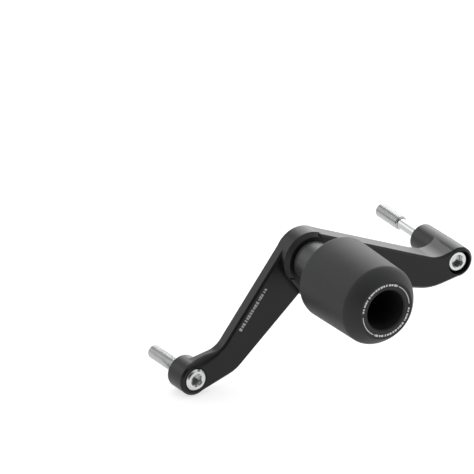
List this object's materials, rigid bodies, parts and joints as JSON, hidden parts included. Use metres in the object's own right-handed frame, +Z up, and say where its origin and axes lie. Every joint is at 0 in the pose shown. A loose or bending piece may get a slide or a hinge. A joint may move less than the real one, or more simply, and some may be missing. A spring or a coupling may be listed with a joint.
{
  "type": "motorcycle frame slider",
  "caption": "Crash bobbin on a stand-off, carried by a two-armed bracket that bolts to a motorcycle's frame through a boss at the end of each arm.",
  "frame": {"origin": "middle of the part's outer box", "axes": "+Z up, +Y from the bobbin towards the motorcycle along the bobbin's and the bolts' axes, +X to the right for someone who looks at the bobbin's front"},
  "size_m": [0.2348, 0.1974, 0.1138],
  "materials": {
    "black_anodised": "satin black anodised",
    "turned_black": "fine turned, black anodised",
    "black_nylon": "matte moulded nylon",
    "machined_aluminium": "bare machined",
    "plated_steel": "bright plated"
  },
  "bodies": {
    "root": {"bracket": "black_anodised", "spindle": "turned_black", "bobbin": "black_nylon", "bobbin_bush": "machined_aluminium", "centre_bolt_washer": "plated_steel", "centre_bolt": "plated_steel", "left_frame_bolt": "plated_steel", "right_frame_bolt": "plated_steel"}
  },
  "joints": []
}
